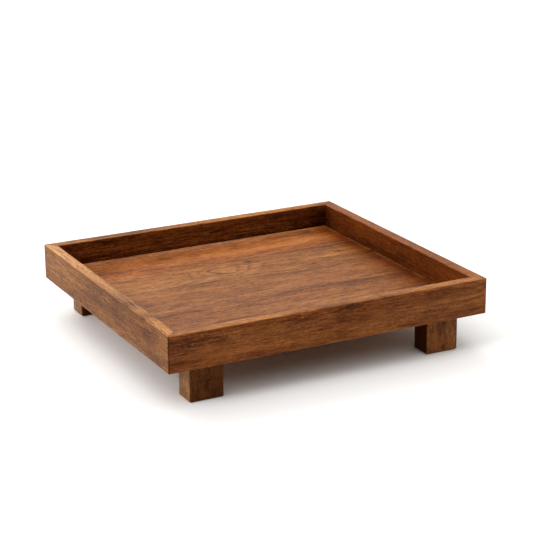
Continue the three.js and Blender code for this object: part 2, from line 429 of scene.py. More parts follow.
def rail_section(side, along):
    """Round the rail from its outer bottom edge: bottom, inner face with the groove, top, outer face."""
    low_out, low_in, top_in, top_out = [edge_radius(side, edge, along) for edge in range(4)]
    thick, low, top = RAIL_THICKNESS, RAIL_BOTTOM, RAIL_TOP
    groove_low, groove_top = BASE_BOTTOM - GROOVE_PLAY, TONGUE_TOP + GROOVE_PLAY
    outer_low = arc(low_out, low + low_out, low_out, 180)
    inner_low = arc(thick - low_in, low + low_in, low_in, 270)
    inner_top = arc(thick - top_in, top - top_in, top_in, 0)
    outer_top = arc(top_out, top - top_out, top_out, 90)
    groove = [(thick, groove_low), (thick - GROOVE_DEPTH, groove_low),
              (thick - GROOVE_DEPTH, groove_top), (thick, groove_top)]
    return [
        *outer_low, *face(outer_low[-1], inner_low[0], FACE_PARTS["bottom"]), *inner_low,
        *[(inset, height, None, 0.0) for inset, height in groove],
        *face(groove[-1], inner_top[0], FACE_PARTS["inner"]), *inner_top,
        *face(inner_top[-1], outer_top[0], FACE_PARTS["top"]), *outer_top,
        *face(outer_top[-1], outer_low[0], FACE_PARTS["outer"]),
    ]


print("points in a rail's section:", len(rail_section("front", 0.0)))

# %% [markdown]
# A section's points are placed on one side of the tray. Towards each end they turn half of the upright
# corner, so that two rails meet on the mitre with a rounded corner between them, and the joint shows
# there as a dark line. The faces dip by up to a tenth of a millimetre. The top of a rail is painted
# lighter than its sides, as painted light from the lamps above.

# %% Place a section on its side of the tray
CORNER_ROUND = 1.9 * MM
MITRE_TURN = math.radians(45)
END_REACH = 1.0 * MM
JOINT_START = 1 / 3
CORNER_JOINT = 1.3
FACE_DIP = 0.10 * MM
DIP_REACH = 42 * MM
# painted light: how much lighter the top of each rail is painted, for the lamps above it
TOP_PAINTED_LIGHT = {"front": 0.81, "right": 0.62, "back": 1.45, "left": 1.13}
TOP_SHARPNESS = 4


def on_side(side, along, inset, height):
    """A point of a rail in the tray: along it, in from its outer face, and up."""
    return {
        "front": Vector((along, inset - HALF_DEPTH, height)),
        "right": Vector((HALF_WIDTH - inset, along, height)),
        "back": Vector((-along, HALF_DEPTH - inset, height)),
        "left": Vector((inset - HALF_WIDTH, -along, height)),
    }[side]


def rail_point(side, half, along, turn, spot):
    """A section's point: `along` from -1 to 1 between the corners, then `turn` round one to the mitre."""
    inset, height, angle, wear = spot
    tone = 0.0
    if angle is not None:
        dip = dip_at(on_side(side, along * half, inset, height), FACE_DIP, DIP_REACH)
        inset -= dip * math.cos(angle)
        height -= dip * math.sin(angle)
        # the top is painted lighter, as painted light
        tone = TOP_PAINTED_LIGHT[side] * max(0.0, math.sin(angle)) ** TOP_SHARPNESS
    turned = turn / MITRE_TURN
    round_left = CORNER_ROUND - inset
    if round_left > 0:
        joint = turned ** CORNER_JOINT
        reach = half - CORNER_ROUND + round_left * math.sin(turn)
        inset = CORNER_ROUND - round_left * math.cos(turn)
    else:
        joint = max(0.0, (turned - JOINT_START) / (1 - JOINT_START))
        reach = half - inset - END_REACH * (1 - turned)
    distance = reach * (along if turn == 0 else math.copysign(1, along))
    return on_side(side, distance, inset, height), wear, joint, tone


place, *kept = rail_point("front", HALF_WIDTH, 0.0, 0.0, rail_section("front", 0.0)[0])
print("first point of the front rail in millimetres:", [round(v / MM, 2) for v in place], "kept:", kept)

# %% [markdown]
# Now the section is carried from mitre to mitre, in steps of three millimetres along the side and in a
# few turns at each end. A hairline is left in the mitre for the glue.

# %% Carry the section from mitre to mitre
MITRE_LINE = 0.02 * MM
STATION = 3.0 * MM
END_STEPS = 3


def make_rail(side):
    """A whole rail, between the mitres at its two ends."""
    half = (HALF_WIDTH if side in ("front", "back") else HALF_DEPTH) - MITRE_LINE
    count = 2 * round(half / STATION)
    turns = [MITRE_TURN * step / END_STEPS for step in range(1, END_STEPS + 1)]
    stations = [(-1, turn) for turn in reversed(turns)]
    stations += [(2 * step / count - 1, 0.0) for step in range(count + 1)]
    stations += [(1, turn) for turn in turns]
    sections = []
    for along, turn in stations:
        section = rail_section(side, along * half)
        sections.append([rail_point(side, half, along, turn, spot) for spot in section])
    return skin(side + "_rail_wood", sections)


rails = {side: make_rail(side) for side in SIDE_NUMBER}
print("rail faces:", {side: len(rail.data.polygons) for side, rail in rails.items()})

# %% [markdown]
# Hidden tongues cross the mitres, and dowels hold the legs. Their sockets are cut with a Boolean, as a
# router or a drill would cut them. A tongue's cutter is a copy of the tongue itself, grown by the play it
# needs. The cutters are thrown away once the cut is applied, so that only wood is left.

# %% Cut sockets for the hidden joinery
TONGUE_PLAY = 0.15 * MM
CORNERS = ("front_left", "front_right", "back_left", "back_right")


def cutter_from(shape):
    """A throw-away object from a bmesh, to cut with."""
    mesh = bpy.data.meshes.new("cutter")
    bmesh.ops.recalc_face_normals(shape, faces=shape.faces)
    shape.to_mesh(mesh)
    shape.free()
    cutter = bpy.data.objects.new("cutter", mesh)
    bpy.context.scene.collection.objects.link(cutter)
    return cutter


def tongue_cutter(corner):
    """The socket of a mitre tongue: the tongue with play all round."""
    shape = bmesh.new()
    shape.from_mesh(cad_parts["mitre_tongue_" + corner].data)
    bmesh.ops.remove_doubles(shape, verts=shape.verts, dist=WELD)
    bmesh.ops.recalc_face_normals(shape, faces=shape.faces)
    for vertex in shape.verts:
        vertex.co += vertex.normal * TONGUE_PLAY * vertex.calc_shell_factor()
    return cutter_from(shape)


def cut(piece, cutters):
    """Takes the cutters' shapes out of a piece, then throws the cutters away."""
    for cutter in cutters:
        modifier = piece.modifiers.new("cut", "BOOLEAN")
        modifier.operation = "DIFFERENCE"
        modifier.solver = "EXACT"
        modifier.object = cutter
    graph = bpy.context.evaluated_depsgraph_get()
    result = bpy.data.meshes.new_from_object(piece.evaluated_get(graph), preserve_all_data_layers=True,
                                             depsgraph=graph)
    piece.modifiers.clear()
    old = piece.data
    piece.data = result
    result.name = old.name + "_cut"
    bpy.data.meshes.remove(old)
    for cutter in cutters:
        bpy.data.meshes.remove(cutter.data)


for side, rail in rails.items():
    cut(rail, [tongue_cutter(corner) for corner in CORNERS if side in corner])
    smooth(rail)
print("rail faces after cutting:", {side: len(rail.data.polygons) for side, rail in rails.items()})

# %% [markdown]
# The base is five boards glued edge to edge. A tongue runs round its rim and sits in the rails' groove,
# and the field stands proud of the tongue with an eased edge, a shadow's width away from the rails. A
# Bevel could ease that edge, but it would ease the glued seams as much. So each kind of edge is drawn as
# a profile, and a board takes the two profiles that it needs in each direction.

# %% The edges of the base
TONGUE_END_PLAY = 1 * MM
FIELD_GAP = 1.2 * MM
FIELD_EASE = 0.8 * MM
STEP_DRAFT = 0.02 * MM
FOOT_WEAR_AND_HIGHLIGHT = 0.3
WEAR_AND_HIGHLIGHT_PEAK = 0.6
SEAM_EASE = 0.12 * MM
SEAM_JOINTS = [(0, 1.0), (1, 0.5), (3, 0.0)]
BOARD_STEP = 6 * MM


def open_edge(edge, inward, worn_and_highlit):
    """A profile from the tongue's tip over the eased edge of the field: (place, height, wear and
    highlight, joint).
    """
    field = edge + inward * (GROOVE_DEPTH - TONGUE_END_PLAY + FIELD_GAP)
    spots = [(edge, TONGUE_TOP, 0.0, 0.0), (field - inward * STEP_DRAFT, TONGUE_TOP, 0.0, 1.0)]
    for step in range(ARC_STEPS + 1):
        share = step / ARC_STEPS
        angle = math.radians(90) * step / ARC_STEPS
        place = field + inward * FIELD_EASE * (1 - math.cos(angle))
        height = BASE_TOP - FIELD_EASE * (1 - math.sin(angle))
        # the eased edge is lightest a little past its middle: wear, and a painted highlight on it
        wear = math.cos(math.pi * (share - WEAR_AND_HIGHLIGHT_PEAK)) if step else FOOT_WEAR_AND_HIGHLIGHT
        spots.append((place, height, wear * worn_and_highlit, 0.0))
    return spots


def seam_edge(edge, inward):
    """A profile over an edge that is glued to the next board, with the glue's dark line fading out."""
    spots = []
    for eases, joint in SEAM_JOINTS:
        height = BASE_TOP if eases else BASE_TOP - SEAM_EASE
        spots.append((edge + inward * eases * SEAM_EASE, height, 0.0, joint))
    return spots


def whole_profile(low, high):
    """Two edges of a board with even steps between them."""
    first, last = low[-1][0], high[-1][0]
    parts = max(2, round((last - first) / BOARD_STEP))
    between = [(first + (last - first) * step / parts, BASE_TOP, 0.0, 0.0) for step in range(1, parts)]
    return low + between + high[::-1]


# how worn each open edge of the base is; its lighter colour is also a painted highlight, most beside the
# right rail
RIM_WEAR_AND_HIGHLIGHT = {"left": 0.3, "right": 0.6, "front": 0.3, "back": 0.1}
across_the_tray = whole_profile(open_edge(-TONGUE_REACH, 1, RIM_WEAR_AND_HIGHLIGHT["left"]),
                                open_edge(TONGUE_REACH, -1, RIM_WEAR_AND_HIGHLIGHT["right"]))
print("points across a board:", len(across_the_tray))

# %% [markdown]
# Beside the right rail the base is painted darker, as painted shade where the rail shades it, and beside
# the back rail it is painted lighter, as painted light. It could be painted on the vertices by hand, but
# a few soft slopes away from a rail are easier to change, so each point works out its painted light and
# shade from its distance to the rails.

# %% Tones beside the rails
PAINTED_SHADE_BY_RAILS = [
    # how much painted shade beside the rail (below 0, painted light), which rail it is, how far that
    # reaches
    (0.52, "right", 21 * MM),
    (0.16, "right", 42 * MM),
    (-0.38, "back", 22 * MM),
]


def painted_light_by_rails(x, y):
    """How much painted light the base has at a place, below 0 painted shade, for its distance to the
    rails.
    """
    away = {"right": HALF_WIDTH - RAIL_THICKNESS - x, "back": HALF_DEPTH - RAIL_THICKNESS - y}
    tone = 0.0
    for darker, side, reach in PAINTED_SHADE_BY_RAILS:
        tone -= darker * math.exp(-((max(0.0, away[side]) / reach) ** 2))
    return tone


print("tone from the middle to the right rail:", [round(painted_light_by_rails(x, 0.0), 2) for x in (0.0, 0.08, 0.16)])

# %% [markdown]
# A board is a grid whose height at each point is the lower of two profiles, one across the tray and one
# from front to back, so the eased edges meet in neat corners. The top rolls by a tenth of a millimetre,
# as a sanded board does.

# %% The boards of the base
BOARD_COUNT = 5
BOARD_DIP = 0.12 * MM
BOARD_DIP_REACH = 55 * MM


def board_faces(rows, columns):
    """The faces of a board: a grid for its top, one for its bottom and walls round them."""
    under = rows * columns
    faces = []
    for row in range(rows - 1):
        for column in range(columns - 1):
            a = row * columns + column
            b, c, d = a + 1, a + columns + 1, a + columns
            faces += [(a, b, c, d), (a + under, d + under, c + under, b + under)]
    rim = list(range(columns))
    rim += [row * columns + columns - 1 for row in range(1, rows)]
    rim += [(rows - 1) * columns + column for column in range(columns - 2, -1, -1)]
    rim += [row * columns for row in range(rows - 2, 0, -1)]
    for here, following in zip(rim, rim[1:] + rim[:1]):
        faces.append((following, here, here + under, following + under))
    return faces


def make_board(number):
    """One board of the base, open at the rim and glued to its neighbours."""
    low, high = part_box(f"base_board_{number}")
    front = open_edge(low.y, 1, RIM_WEAR_AND_HIGHLIGHT["front"]) if number == BOARD_COUNT else seam_edge(low.y, 1)
    back = open_edge(high.y, -1, RIM_WEAR_AND_HIGHLIGHT["back"]) if number == 1 else seam_edge(high.y, -1)
    deep = whole_profile(front, back)
    spots = []
    for y, height_y, wear_and_highlight_y, joint_y in deep:
        for x, height_x, wear_and_highlight_x, joint_x in across_the_tray:
            height = min(height_x, height_y)
            if height > BASE_TOP - FIELD_EASE:
                height -= dip_at((x, y, number), BOARD_DIP, BOARD_DIP_REACH)
            # the painted light and shade beside the rails is kept on each point of the top
            spots.append(((x, y, height), max(wear_and_highlight_x, wear_and_highlight_y), max(joint_x, joint_y), painted_light_by_rails(x, y)))
    spots += [((x, y, BASE_BOTTOM), 0.0, 0.0, 0.0) for y, *_ in deep for x, *_ in across_the_tray]
    return join_faces(f"base_board_{number}_wood", spots, board_faces(len(deep), len(across_the_tray)))


boards = {number: make_board(number) for number in range(1, BOARD_COUNT + 1)}
print("board faces:", {number: len(board.data.polygons) for number, board in boards.items()})

# %% [markdown]
# Two dowels hold each leg, and they reach up into the first and the last board. A drill leaves a round
# hole a little wider and deeper than the dowel, so a plain cylinder cuts it.

# %% Drill the base for the dowels
DRILL_RADIUS = 4.12 * MM
DRILL_RELIEF = 0.5 * MM
DRILL_SIDES = 28
DOWEL_PLACES = ("outer", "inner")


def drill(corner, place):
    """The hole for one dowel of a leg."""
    low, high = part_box(f"dowel_{corner}_{place}")
    shape = bmesh.new()
    bmesh.ops.create_cone(shape, cap_ends=True, segments=DRILL_SIDES, radius1=DRILL_RADIUS,
                          radius2=DRILL_RADIUS, depth=high.z - low.z + 2 * DRILL_RELIEF,
                          matrix=Matrix.Translation((low + high) / 2))
    return cutter_from(shape)


for number, end in ((1, "back"), (BOARD_COUNT, "front")):
    held = [corner for corner in CORNERS if end in corner]
    cut(boards[number], [drill(corner, place) for corner in held for place in DOWEL_PLACES])
for board in boards.values():
    smooth(board)
print("faces after drilling:", {number: len(board.data.polygons) for number, board in boards.items()})

# %% [markdown]
# The legs are short blocks of the same wood with the grain upright. Their upright edges are only just
# broken, and the foot's edges are rounded more, so that the tray slides without catching. The plan of a
# leg is a rounded rectangle, and near the foot each level draws it in along a quarter round.

# %% The plan and the levels of a leg
LEG_EDGE = 1.1 * MM
FINEST_EDGE = 0.3 * MM
EDGE_LOSS = 0.45
LEG_SIDE_PARTS = 4
FOOT_ROUND = 2.3 * MM
FOOT_STEPS = 6
LEG_STEPS = 12


def leg_plan(low, high, drawn_in):
    """A rounded rectangle, as (x, y, angle it faces, wear and highlight), drawn in by that much on every
    side.
    """
    radius = max(LEG_EDGE - EDGE_LOSS * drawn_in, FINEST_EDGE)
    left, right = low.x + drawn_in + radius, high.x - drawn_in - radius
    front, back = low.y + drawn_in + radius, high.y - drawn_in - radius
    middles = [(right, back, 0), (left, back, 90), (left, front, 180), (right, front, 270)]
    arcs = [arc(x, y, radius, angle) for x, y, angle in middles]
    plan = []
    for number, quarter in enumerate(arcs):
        following = arcs[(number + 1) % len(arcs)]
        plan += [*quarter, *face(quarter[-1], following[0], LEG_SIDE_PARTS)]
    return plan


def leg_levels(low, high):
    """Heights up a leg, each with how far the plan is drawn in there."""
    levels = []
    for step in range(FOOT_STEPS + 1):
        angle = math.radians(90) * step / FOOT_STEPS
        levels.append((low.z + FOOT_ROUND * (1 - math.cos(angle)), FOOT_ROUND * (1 - math.sin(angle))))
    ankle = levels[-1][0]
    straight = high.z - ankle
    return levels + [(ankle + straight * step / LEG_STEPS, 0.0) for step in range(1, LEG_STEPS + 1)]


# %% [markdown]
# The plan is carried up through the levels, as a rail's section is along its side, and the dowel holes
# are drilled from above. The left side of a leg is painted lighter or darker than its front, as painted
# light where the left lamp falls on it and as painted shade under the tray, and each point keeps that as
# its painted light.

# %% The legs
LEG_DIP_REACH = 18 * MM
# painted light on the left side of each leg, and painted shade where it is below 0
LEFT_PAINTED_LIGHT = {"front_left": 1.6, "front_right": -0.75, "back_left": 3.15, "back_right": 0.0}
LEFT_SHARPNESS = 2
LEFT_PATCHES = 0.45
PATCH_REACH = 11 * MM


def leg_spot(corner, height, drawn_in, spot):
    """A point of a leg. Above the rounded foot its faces dip and its edges are worn, with a painted
    highlight.
    """
    x, y, angle, wear = spot
    # the left side is painted lighter or darker, as painted light and shade
    tone = LEFT_PAINTED_LIGHT[corner] * max(0.0, -math.cos(angle)) ** LEFT_SHARPNESS
    if tone > 0:
        tone *= 1 + LEFT_PATCHES * wander((x, y, height), PATCH_REACH)
    if drawn_in:
        return Vector((x, y, height)), 0.0, 0.0, tone
    dip = dip_at((x, y, height), FACE_DIP, LEG_DIP_REACH)
    return Vector((x - dip * math.cos(angle), y - dip * math.sin(angle), height)), wear, 0.0, tone


def make_leg(corner):
    """One leg, from its rounded foot to the base."""
    low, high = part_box("leg_" + corner)
    sections = []
    for height, drawn_in in leg_levels(low, high):
        plan = leg_plan(low, high, drawn_in)
        sections.append([leg_spot(corner, height, drawn_in, spot) for spot in plan])
    return skin(f"leg_{corner}_wood", sections)


legs = {corner: make_leg(corner) for corner in CORNERS}
for corner, leg in legs.items():
    cut(leg, [drill(corner, place) for place in DOWEL_PLACES])
    smooth(leg)
print("leg faces:", {corner: len(leg.data.polygons) for corner, leg in legs.items()})

# %% [markdown]
# Wood looks right when its pattern runs through the piece as it ran through the tree. An image wrapped
# round a rail would give its corners away, so the pattern here is solid: every point asks where it lies
# along, across and through the grain, in millimetres. Marks that have a place of their own, such as a
# stain or the eye of a knot, are soft spots at that place.

# %% Where a point lies in the tray
GRAIN_AXES = {
    # along the grain, across it and through it
    "board": ("X", "Y", "Z"),
    "long_rail": ("X", "Z", "Y"),
    "short_rail": ("Y", "Z", "X"),
    "leg": ("Z", "X", "Y"),
}


def in_the_tray(start, grain):
    """Along, across and through the grain of a piece, in the tray's own millimetres."""
    place = start.node("TexCoord", {}, {}, output="Object")
    split = start.node("SeparateXYZ", {}, {0: place})
    return [split.beside(axis) / MM for axis in GRAIN_AXES[grain]]


def middle_of(node, grain):
    """The middle of a solid, along, across and through the grain, in millimetres."""
    low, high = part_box(node)
    return [getattr(low + high, axis.lower()) / 2 / MM for axis in GRAIN_AXES[grain]]


def soft_spots(along, across, places):
    """Soft marks on a face, each given as (along, across, half length, half width, strength)."""
    total = 0.0
    for where_along, where_across, long, wide, strength in places:
        u = (along - where_along) / long
        v = (across - where_across) / wide
        out = u * u + v * v
        total = total + strength / (1 + out * out)
    return total


print("middle of the front rail:", [round(value, 1) for value in middle_of("front_rail", "long_rail")])

# %% [markdown]
# All the rest is noise that is drawn out along the grain. The patterns differ only in the length and
# width of their spots, in how rough they are, in whether they sway with the grain, and in where in the
# log they begin, so one table holds them. The grain of a real board sways from side to side, and a slow
# pattern does that to the others.

# %% Patterns in the log
PATTERNS = {
    # name: length, width, detail, roughness, does it sway, where it begins along, across and through
    "sway": (85, 24, 1.0, 0.5, False, (0, 0, 0)),
    "clouds": (150, 60, 1.0, 0.5, False, (90, 0, 160)),
    "bands": (240, 24, 1.0, 0.5, True, (0, 0, 0)),
    "blotches": (34, 13, 2.0, 0.5, False, (310, 0, 0)),
    "strands": (120, 6.5, 2.0, 0.6, True, (0, 70, 9)),
    "streaks": (60, 2.8, 3.0, 0.65, True, (0, 170, 0)),
    "fibres": (15, 1.2, 4.0, 0.75, True, (0, 0, 50)),
    "grit": (3.6, 1.7, 2.0, 0.6, False, (15, 0, 0)),
    "open_grain": (60, 17, 1.0, 0.5, False, (-220, 0, 0)),
    "cool_wood": (130, 26, 1.0, 0.5, False, (-120, 0, 0)),
    "veins": (110, 1.9, 2.0, 0.5, True, (300, 0, 0)),
    "vein_patches": (60, 14, 1.0, 0.5, False, (-500, 0, 0)),
    "pores": (8, 0.9, 1.0, 0.5, True, (0, 200, 0)),
    "flecks": (20, 1.5, 1.0, 0.5, True, (40, 90, 0)),
    "scuffs": (14, 6, 2.0, 0.5, False, (0, 0, 400)),
}
MASKS = {
    # where the noise starts to show as a mark, and where the mark is full
    "open_grain": (0.32, 0.66),
    "cool_wood": (0.35, 0.68),
    "veins": (0.62, 0.74),
    "vein_patches": (0.42, 0.66),
    "pores": (0.57, 0.68),
    "flecks": (0.62, 0.70),
    "scuffs": (0.30, 0.68),
}
print("patterns in the log:", len(PATTERNS), "of which marks:", len(MASKS))

# %% [markdown]
# A piece has its own place in the log, so that no two of them show the same figure. The class below finds
# where each point lies in the log and lets the grain sway there. It gives any pattern of the table, as
# noise that swings about 0 or as a mask for a mark.

# %% Cut a piece from the log
SWEEP = 6


class Log:
    """The place in the log that one piece was cut from, and the patterns there."""

    def __init__(self, start, node, grain, shift, waves, shorter):
        self.spot = in_the_tray(start, grain)
        self.middle = middle_of(node, grain)
        along, self.across, self.through = [value + move for value, move in zip(self.spot, shift)]
        self.along = along * shorter
        self.sway = self.swing("sway") * waves
        self.swept = self.across + SWEEP * self.sway

    def pattern(self, name):
        """Noise in spots drawn out along the grain, between 0 and 1."""
        length, width, detail, roughness, sways, shift = PATTERNS[name]
        axes = (self.along, self.swept if sways else self.across, self.through)
        along, across, through = [axis + move if move else axis for axis, move in zip(axes, shift)]
        spot = along.node("CombineXYZ", {}, {0: along / length, 1: across / width, 2: through / width})
        return along.node("TexNoise", {}, {"Vector": spot, "Scale": 1.0, "Detail": detail,
                                           "Roughness": roughness})

    def swing(self, name):
        """A pattern that swings about 0."""
        return self.pattern(name) - 0.5

    def mask(self, name):
        """A pattern as a mark: 0 where there is none, 1 where it is full."""
        return self.pattern(name).rise(*MASKS[name])


print("a piece of the log gives:", [name for name in vars(Log) if not name.startswith("_")])

# %% [markdown]
# The shade of the wood adds up what can be seen on the tray: broad clouds and bands along the grain,
# finer streaks and short fibres in them, growth rings about a heart below the board, and stains, some of
# which are painted shade. Late wood is dark, and a year ends suddenly, so a ring follows the cube of the
# year. Where a knot is near, the rings bend round it and grow stronger.

# %% The shade of the wood
BROAD = {"clouds": 0.30, "bands": 0.44, "blotches": 0.30, "strands": 0.34}
FINE = {"streaks": 0.48, "fibres": 1.58, "grit": 0.62}
CLOSED_GRAIN = 0.72
OPEN_GRAIN = 0.5
HEART_TILT = 0.03
DEPTH_SWAY = 26
SIDE_SWAY = 14
RING_MEAN = 0.25
RING_DEPTH = 0.10
KNOT_DEPTH = 0.025


def rings(log, heart, ring, near_knot):
    """How dark the growth rings are, about a heart that lies that far from the middle of the piece."""
    along, across, through = log.spot
    deep = through - (log.middle[2] + heart) + HEART_TILT * along + DEPTH_SWAY * log.sway + near_knot
    side = across - log.middle[1] + SIDE_SWAY * log.sway
    turns = (side * side + deep * deep) ** 0.5 / ring
    year = turns.math("FRACT", turns)
    return (year * year * year - RING_MEAN) * (RING_DEPTH + KNOT_DEPTH * near_knot)


def weighed(parts, weights):
    """The sum of the parts that are named, each by its weight."""
    total = 0.0
    for name, weight in weights.items():
        total = total + parts[name] * weight
    return total


def shade_of(log, parts, late, figure, stains_and_shade):
    """From 0, the darkest brown, to 1, the lightest."""
    stained_and_shaded = soft_spots(log.spot[0], log.spot[1] + SWEEP * log.sway, stains_and_shade) * (1 + parts["streaks"])
    fine = weighed(parts, FINE) * (CLOSED_GRAIN + OPEN_GRAIN * log.mask("open_grain"))
    return 0.5 + (weighed(parts, BROAD) + fine - late) * figure - stained_and_shaded


print("broad patterns:", list(BROAD), "fine patterns:", list(FINE))

# %% [markdown]
# The shade runs through a ramp from dark to light brown, and the piece's own tint follows, warmer and
# cooler by turns. Then comes the painted light and shade that is kept on each vertex. Where it makes the
# wood lighter the wood also fades in hue, so green and blue follow it by powers of their own.

# %% The colour of the wood
BROWNS = [
    (0.00, (0.030, 0.0080, 0.0020)),
    (0.30, (0.096, 0.0285, 0.0070)),
    (0.50, (0.166, 0.0540, 0.0140)),
    (0.72, (0.244, 0.0900, 0.0265)),
    (1.00, (0.338, 0.1430, 0.0500)),
]
WARM_LEAN = (1.03, 1.00, 0.90)
COOL_LEAN = (0.97, 1.00, 1.06)


def leaning(tint, lean):
    """A tint that leans to warm or cool, as a colour."""
    return (*[value * more for value, more in zip(tint, lean)], 1)


def kept_on(start, label):
    """A number that is kept on the vertices."""
    return start.node("Attribute", {"attribute_name": label}, {}, output="Fac")


def brown_of(log, shade, tint, light, fade):
    """The colour of oiled wood at a shade, tinted, and lightened or darkened by the painted light
    `light`.
    """
    browns = shade.node("ValToRGB", {"stops": BROWNS}, {0: shade})
    tints = log.mask("cool_wood").mix(leaning(tint, WARM_LEAN), leaning(tint, COOL_LEAN))
    faded = light.node("CombineXYZ", {}, {0: light, 1: light ** fade[0], 2: light ** fade[1]})
    return browns.times(tints).times(faded)


print("a warm tint:", [round(value, 2) for value in leaning((1, 1, 1), WARM_LEAN)])

# %% [markdown]
# Last come thin dark veins, pores and flecks. Worn edges are lighter and duller, and that lighter colour
# is also a painted highlight; joints hold a dark line, and pores dent the surface. The dents are too fine
# for the mesh, so a Bump node makes them. The finish is a satin oil, with hardly any shine.

# %% The wood finish
# the colour of worn edges, which also stands for a painted highlight on them
WORN_AND_HIGHLIT_WOOD = (0.36, 0.145, 0.048, 1)
JOINT_DARK = (0.012, 0.004, 0.0015, 1)
VEIN_DARK = (0.035, 0.009, 0.0025, 1)
VEIN_SHARE = 0.60
JOINT_SHARE = 0.92
DARK_SPOTS = {"pores": 0.30, "flecks": 0.34}
SATIN = 0.40
ROUGH_SPOTS = {"fibres": 0.16, "pores": 0.20, "scuffs": 0.12}
RELIEF = {"fibres": 0.35, "streaks": 0.30, "pores": -0.70, "flecks": -0.30}
RELIEF_STRENGTH = 0.35
RELIEF_DEPTH = 0.12 * MM
SHINE = 0.05


def wood(node, grain, shift, tint, heart=-40.0, ring=4.5, figure=1.0, knots=(), stains_and_shade=(), wear=0.6,
         veins=1.0, fade=(1.2, 1.25), waves=1.0, shorter=1.0):
    """A material for one piece, cut from its own place in the log, with the log's heart below it."""
    material, start = new_material(node + "_finish")
    log = Log(start, node, grain, shift, waves, shorter)
    parts = {name: log.swing(name) for name in (*BROAD, *FINE)}
    late = rings(log, heart, ring, soft_spots(log.spot[0], log.spot[1], knots))
    shade = shade_of(log, parts, late, figure, stains_and_shade)
    # the painted light and shade kept on the vertices lightens or darkens the brown
    toned = brown_of(log, shade, tint, kept_on(start, "tone") + 1, fade)
    veined = (log.mask("veins") * log.mask("vein_patches") * (VEIN_SHARE * veins)).mix(toned, VEIN_DARK)
    parts["pores"] = log.mask("pores")
    parts["flecks"] = log.mask("flecks")
    pored = weighed(parts, DARK_SPOTS).mix(veined, VEIN_DARK)
    # worn edges are lighter, as wear and as a painted highlight
    parts["scuffs"] = kept_on(start, "wear") * log.mask("scuffs") * wear
    edged = parts["scuffs"].mix(pored, WORN_AND_HIGHLIT_WOOD)
    colour = (kept_on(start, "joint") * JOINT_SHARE).mix(edged, JOINT_DARK)
    roughness = SATIN + weighed(parts, ROUGH_SPOTS)
    bump = start.node("Bump", {}, {"Strength": RELIEF_STRENGTH, "Distance": RELIEF_DEPTH,
                                   "Height": weighed(parts, RELIEF)})
    satin = {"Base Color": colour, "Roughness": roughness, "Normal": bump, "Specular IOR Level": SHINE}
    start.node("OutputMaterial", {}, {"Surface": start.node("BsdfPrincipled", {}, satin)})
    return material


def finish_with(piece, material, node):
    """Gives a piece its material, and puts it on the frame in place of its solid."""
    piece.data.materials.clear()
    piece.data.materials.append(material)
    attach(piece, "root")
    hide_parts(node)


print("pieces to finish:", len(rails) + len(boards) + len(legs))

# %% [markdown]
# The rails came from darker and lighter planks, so each has its own tint and its own place in the log.
# The left one is the palest, which is also painted light on the side the left lamp falls on, and the back
# one the darkest, which is also painted shade on its inner face, turned away from the lamps. Stains are
# soft spots at chosen places: a smudge where hands hold the tray, a darker heart streak, a pale patch,
# and painted shade in the inner corners at the back and along the foot of the back rail. Each is given in
# millimetres along and across.

# %% Finish the rails
RAIL_WOODS = {
    # side: grain, place in the log, tint, heart, ring, how strong the figure is, how green and blue
    # follow the painted light on its top
    "front": ("long_rail", (40, 12, 5), (0.945, 0.835, 0.700), -55, 5.0, 1.0, (1.31, 1.38)),
    "right": ("short_rail", (700, 320, 40), (0.93, 0.655, 0.385), -70, 5.5, 0.75, (1.55, 1.65)),
    "back": ("long_rail", (1500, 90, 75), (0.67, 0.50, 0.33), -48, 4.5, 1.7, (1.21, 0.48)),
    "left": ("short_rail", (2300, 510, 110), (1.215, 1.355, 1.400), -62, 5.0, 0.85, (1.20, 1.31)),
}
RAIL_STAINS_AND_SHADE = {
    # along, across, half length, half width, how much darker
    "front": ((-160, 66, 14, 5, 0.20), (20, 72, 15, 3, 0.22), (9, 52, 9, 10, 0.12),
              (-98, 55, 40, 11, -0.10), (166, 56, 9, 14, -0.12), (-166, 46, 9, 2, 0.20),
              (160, 45, 5, 2, 0.20), (121, 59, 35, 3, -0.10), (120, 67, 15, 4, 0.12),
              (-12, 77, 28, 2.5, 0.18), (-78, 77, 12, 2.5, -0.16), (-118, 77, 10, 2.5, -0.16),
              (60, 77, 14, 2.5, 0.14), (100, 77, 9, 2.5, -0.14)),
    # the last spot darkens the inner corner at the back, as painted shade
    "right": ((10, 55, 110, 1.7, 0.15), (60, 70, 30, 3, -0.08), (0, 63, 120, 4, -0.05),
              (148, 54, 13, 14, 0.36)),
    # the first and fourth spots darken the inner corners, and the third the foot of the inner face, as
    # painted shade
    "back": ((160, 54, 17, 14, 0.40), (-40, 66, 30, 4, 0.12), (0, 51, 140, 4, 0.16),
             (-152, 60, 20, 14, 0.15), (-30, 58, 60, 14, -0.14), (115, 58, 36, 14, 0.10),
             (95, 77, 55, 2.5, -0.26)),
    "left": ((-116, 59, 16, 9, 0.22), (-46, 61, 45, 10, 0.11), (113, 57, 45, 14, -0.13),
             (50, 56, 60, 2, 0.08), (-62, 77, 12, 2.5, 0.30), (-100, 77, 10, 2.5, 0.28)),
}
RAIL_WAVES = 0.6

for side, (grain, shift, tint, heart, ring, figure, fade) in RAIL_WOODS.items():
    material = wood(side + "_rail", grain, shift, tint, heart, ring, figure, stains_and_shade=RAIL_STAINS_AND_SHADE[side],
                    fade=fade, waves=RAIL_WAVES)
    finish_with(rails[side], material, side + "_rail")
print("rails finished:", list(RAIL_WOODS))

# %% [markdown]
# The boards of the base are the show wood. The one at the back is the brightest orange, which is partly
# painted light, the second holds an eye where a branch began, and the rest turn browner towards the
# front.
# The seams between them hardly show, so a change of tone and of figure has to tell them apart.

